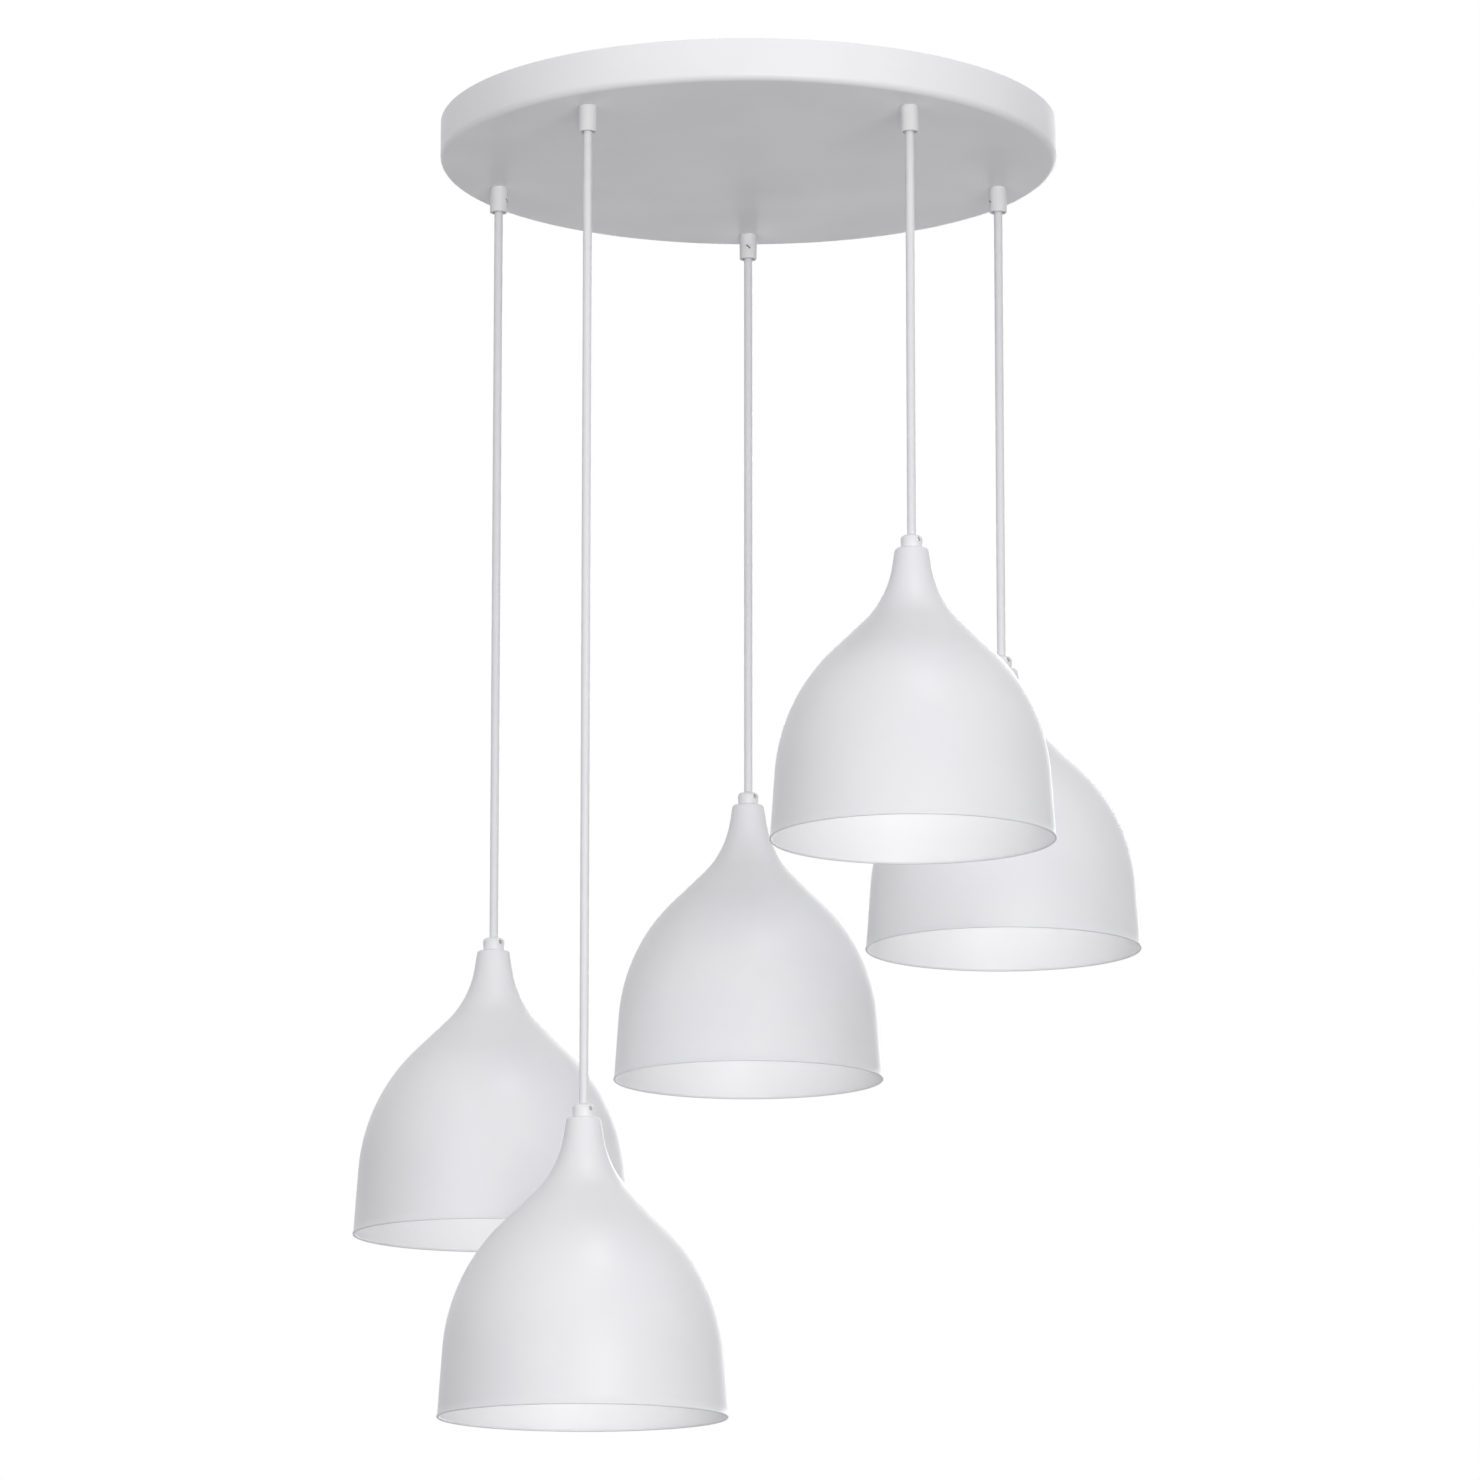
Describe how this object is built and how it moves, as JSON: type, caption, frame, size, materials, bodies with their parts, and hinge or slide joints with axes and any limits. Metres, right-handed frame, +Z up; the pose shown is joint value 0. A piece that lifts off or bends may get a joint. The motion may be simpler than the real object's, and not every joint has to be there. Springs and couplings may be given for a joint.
{
  "type": "cluster pendant light",
  "caption": "White pendant light: a round ceiling canopy with bell-shaped metal shades that hang on round cords of different length.",
  "frame": {"origin": "centre of the two ceiling slots, in the ceiling's plane, on the axis of the canopy", "axes": "+Z up into the ceiling; +X along the bracket, to the picture's right; +Y away from the picture's viewer, towards pendant c"},
  "size_m": [0.569, 0.5509, 0.9605],
  "materials": {
    "shade_white": "satin",
    "canopy_white": "satin",
    "collar_white": "satin",
    "white_nylon": "matte",
    "white_screw": "satin",
    "white_cord": "matte",
    "white_plastic": "matte",
    "holder_white": "satin",
    "zinc_steel": "satin",
    "screw_steel": "satin",
    "brass": "satin",
    "earth_sleeve": "satin"
  },
  "bodies": {
    "canopy": {"canopy": "canopy_white", "mounting_bracket": "zinc_steel", "canopy_screws": "screw_steel", "canopy_weld_nuts": "zinc_steel", "canopy_weld_studs": "zinc_steel", "stud_nuts": "brass", "grip_nuts": "zinc_steel", "grip_screws": "white_screw", "cord_tails": "white_cord", "terminal_box": "white_plastic", "terminal_lid": "white_plastic", "terminal_block": "holder_white", "terminal_metal": "brass", "earth_lead": "earth_sleeve", "cord_grip_a": "white_nylon", "cord_grip_b": "white_nylon", "cord_grip_c": "white_nylon", "cord_grip_d": "white_nylon", "cord_grip_e": "white_nylon"},
    "cord_a": {"cord_a": "white_cord"},
    "pendant_a": {"collar_a": "collar_white", "fasteners_a": "screw_steel", "threaded_tube_a": "zinc_steel", "shade_a": "shade_white", "holder_cap_a": "holder_white", "holder_skirt_a": "holder_white", "holder_contacts_a": "brass"},
    "cord_b": {"cord_b": "white_cord"},
    "pendant_b": {"collar_b": "collar_white", "fasteners_b": "screw_steel", "threaded_tube_b": "zinc_steel", "shade_b": "shade_white", "holder_cap_b": "holder_white", "holder_skirt_b": "holder_white", "holder_contacts_b": "brass"},
    "cord_c": {"cord_c": "white_cord"},
    "pendant_c": {"collar_c": "collar_white", "fasteners_c": "screw_steel", "threaded_tube_c": "zinc_steel", "shade_c": "shade_white", "holder_cap_c": "holder_white", "holder_skirt_c": "holder_white", "holder_contacts_c": "brass"},
    "cord_d": {"cord_d": "white_cord"},
    "pendant_d": {"collar_d": "collar_white", "fasteners_d": "screw_steel", "threaded_tube_d": "zinc_steel", "shade_d": "shade_white", "holder_cap_d": "holder_white", "holder_skirt_d": "holder_white", "holder_contacts_d": "brass"},
    "cord_e": {"cord_e": "white_cord"},
    "pendant_e": {"collar_e": "collar_white", "fasteners_e": "screw_steel", "threaded_tube_e": "zinc_steel", "shade_e": "shade_white", "holder_cap_e": "holder_white", "holder_skirt_e": "holder_white", "holder_contacts_e": "brass"}
  },
  "joints": [
    {"name": "swing_a", "type": "hinge", "parent": "canopy", "child": "cord_a", "pos_m": [-0.18451, 0.05995, -0.047], "axis": [0.309, 0.9511, 0], "range_deg": [-2, 30]},
    {"name": "height_a", "type": "slide", "parent": "cord_a", "child": "pendant_a", "axis": [0, 0, 1], "range_m": [0, 0.52], "deforming": ["cord_a"]},
    {"name": "swing_b", "type": "hinge", "parent": "canopy", "child": "cord_b", "pos_m": [-0.11403, -0.15695, -0.047], "axis": [-0.809, 0.5878, 0], "range_deg": [-2, 30]},
    {"name": "height_b", "type": "slide", "parent": "cord_b", "child": "pendant_b", "axis": [0, 0, 1], "range_m": [0, 0.67], "deforming": ["cord_b"]},
    {"name": "swing_c", "type": "hinge", "parent": "canopy", "child": "cord_c", "pos_m": [0, 0.194, -0.047], "axis": [1, 0, 0], "range_deg": [-2, 30]},
    {"name": "height_c", "type": "slide", "parent": "cord_c", "child": "pendant_c", "axis": [0, 0, 1], "range_m": [0, 0.39], "deforming": ["cord_c"]},
    {"name": "swing_d", "type": "hinge", "parent": "canopy", "child": "cord_d", "pos_m": [0.11403, -0.15695, -0.047], "axis": [-0.809, -0.5878, 0], "range_deg": [-2, 30]},
    {"name": "height_d", "type": "slide", "parent": "cord_d", "child": "pendant_d", "axis": [0, 0, 1], "range_m": [0, 0.27], "deforming": ["cord_d"]},
    {"name": "swing_e", "type": "hinge", "parent": "canopy", "child": "cord_e", "pos_m": [0.18451, 0.05995, -0.047], "axis": [0.309, -0.9511, 0], "range_deg": [-2, 30]},
    {"name": "height_e", "type": "slide", "parent": "cord_e", "child": "pendant_e", "axis": [0, 0, 1], "range_m": [0, 0.31], "deforming": ["cord_e"]}
  ]
}
